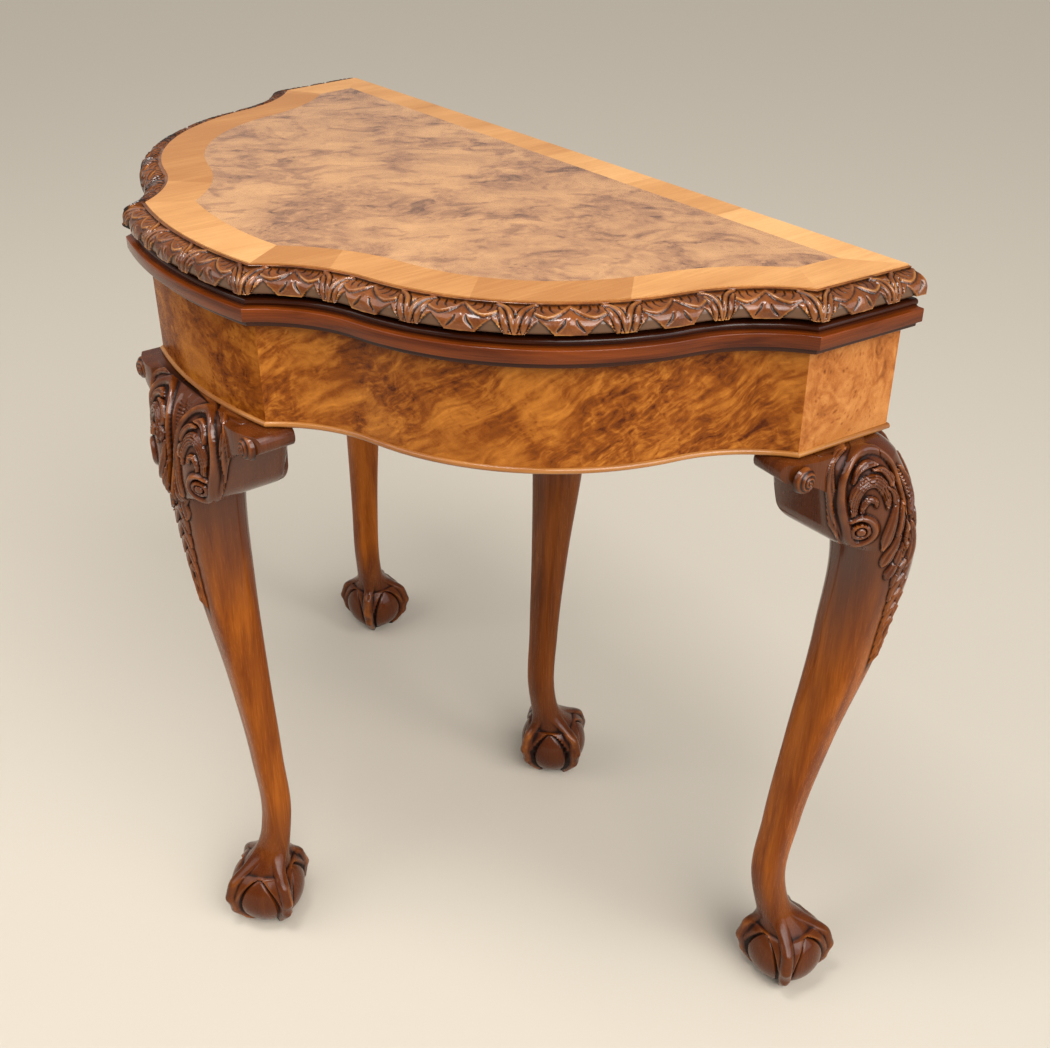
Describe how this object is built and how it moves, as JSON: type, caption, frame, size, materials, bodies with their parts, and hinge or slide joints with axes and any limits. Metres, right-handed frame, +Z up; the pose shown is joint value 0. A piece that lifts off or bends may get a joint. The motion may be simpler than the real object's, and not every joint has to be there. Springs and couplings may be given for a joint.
{
  "type": "demilune card table",
  "caption": "Fold-over demilune card table with serpentine sides, carved top edge, burr frieze, cabriole legs on ball-and-claw feet, a hinged leaf and a rear leg that pulls out on a frame.",
  "frame": {"origin": "on the floor, in the middle of the overall box", "axes": "+Z up, bowed front towards -Y, +X to the right of someone facing the bowed front, along the straight back edge"},
  "size_m": [0.8716, 0.4804, 0.74],
  "materials": {
    "burr_walnut": "french polished burr veneer",
    "crossbanded_walnut": "french polished cross-grained veneer",
    "bead_walnut": "polished",
    "carved_walnut": "dark polished carving",
    "moulded_walnut": "dark polished moulding",
    "leg_walnut": "polished solid wood",
    "carcass_wood": "planed, unpolished",
    "baize": "woollen baize",
    "brass": "aged"
  },
  "bodies": {
    "carcass": {"back_rail_left": "carcass_wood", "back_rail_right": "carcass_wood", "bead_end_left": "bead_walnut", "bead_end_right": "bead_walnut", "bead_front": "bead_walnut", "bead_serpentine_left": "bead_walnut", "bead_serpentine_right": "bead_walnut", "ear_back_left": "leg_walnut", "ear_back_right": "leg_walnut", "ear_end_left": "leg_walnut", "ear_end_right": "leg_walnut", "ear_front_left": "leg_walnut", "ear_front_right": "leg_walnut", "frieze_end_left": "burr_walnut", "frieze_end_right": "burr_walnut", "frieze_front": "burr_walnut", "frieze_serpentine_left": "burr_walnut", "frieze_serpentine_right": "burr_walnut", "hinge_fixed_left": "brass", "hinge_fixed_right": "brass", "leg_front": "leg_walnut", "leg_left": "leg_walnut", "leg_right": "leg_walnut", "lower_baize": "baize", "lower_border": "crossbanded_walnut", "lower_edge_end_left": "moulded_walnut", "lower_edge_end_right": "moulded_walnut", "lower_edge_front": "moulded_walnut", "lower_edge_serpentine_left": "moulded_walnut", "lower_edge_serpentine_right": "moulded_walnut", "lower_leaf_board": "carcass_wood", "slide_bearer_left": "carcass_wood", "slide_bearer_right": "carcass_wood", "slide_stop_rail": "carcass_wood"},
    "folding_leaf": {"hinge_leaf_left": "brass", "hinge_leaf_right": "brass", "upper_baize": "baize", "upper_border": "crossbanded_walnut", "upper_burr_panel": "burr_walnut", "upper_crossband_back": "crossbanded_walnut", "upper_crossband_end_left": "crossbanded_walnut", "upper_crossband_end_right": "crossbanded_walnut", "upper_crossband_front": "crossbanded_walnut", "upper_crossband_serpentine_left": "crossbanded_walnut", "upper_crossband_serpentine_right": "crossbanded_walnut", "upper_edge_end_left": "carved_walnut", "upper_edge_end_right": "carved_walnut", "upper_edge_front": "carved_walnut", "upper_edge_serpentine_left": "carved_walnut", "upper_edge_serpentine_right": "carved_walnut", "upper_leaf_board": "carcass_wood"},
    "leg_frame": {"frame_back_rail": "carcass_wood", "frame_cross_tie": "carcass_wood", "frame_side_left": "carcass_wood", "frame_side_right": "carcass_wood", "leg_rear": "leg_walnut"}
  },
  "joints": [
    {"name": "leaf_hinge", "type": "hinge", "parent": "carcass", "child": "folding_leaf", "pos_m": [0, 0.2073, 0.717], "axis": [-1, 0, 0], "range_deg": [0, 180]},
    {"name": "rear_leg_slide", "type": "slide", "parent": "carcass", "child": "leg_frame", "axis": [0, 1, 0], "range_m": [0, 0.19]}
  ]
}
